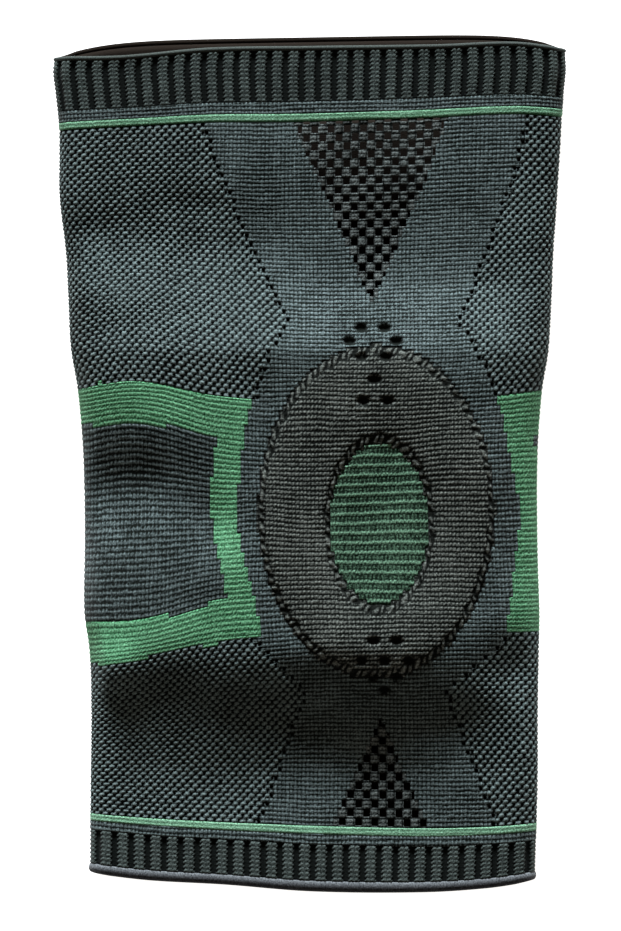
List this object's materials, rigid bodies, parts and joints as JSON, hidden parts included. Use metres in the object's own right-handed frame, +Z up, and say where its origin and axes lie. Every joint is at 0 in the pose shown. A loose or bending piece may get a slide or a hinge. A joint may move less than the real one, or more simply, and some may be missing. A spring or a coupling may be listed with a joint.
{
  "type": "knee sleeve",
  "caption": "Knitted compression knee sleeve lying flat, an open tube with ribbed cuffs, a padded kneecap ring, open-work vents and a green side frame",
  "frame": {"origin": "centre of the footprint, on the surface the sleeve lies on", "axes": "+Y along the sleeve towards the thigh end, +Z up out of the surface, the kneecap side, +X across the sleeve to the right as the kneecap side is seen with the thigh end up"},
  "size_m": [0.1691, 0.282, 0.0254],
  "materials": {
    "dark_edge": "dark brown elastic yarn, tightly knitted roll",
    "rib_knit": "grey knitted ribs over near-black grooves",
    "plain_knit": "plain grey knit, matt",
    "moss_knit": "grey moss stitch with dark gaps, matt",
    "open_knit": "grey open-work knit",
    "pad_knit": "fine grey knit over a soft ring pad",
    "window_knit": "ridged dark green knit",
    "green_knit": "fine mint-green knit",
    "stripe_knit": "light green knitted stripe",
    "grey_edge": "smooth grey rolled hem"
  },
  "bodies": {
    "root": {"upper_hem": "dark_edge", "upper_cuff": "rib_knit", "upper_border": "plain_knit", "upper_stripe": "stripe_knit", "thigh_panel": "moss_knit", "upper_vent": "open_knit", "front_band": "plain_knit", "patella_ring": "pad_knit", "patella_window": "window_knit", "side_frame": "green_knit", "back_panel": "plain_knit", "lower_vent": "open_knit", "calf_panel": "moss_knit", "lower_stripe": "stripe_knit", "lower_border": "plain_knit", "lower_cuff": "rib_knit", "lower_hem": "grey_edge"}
  },
  "joints": []
}
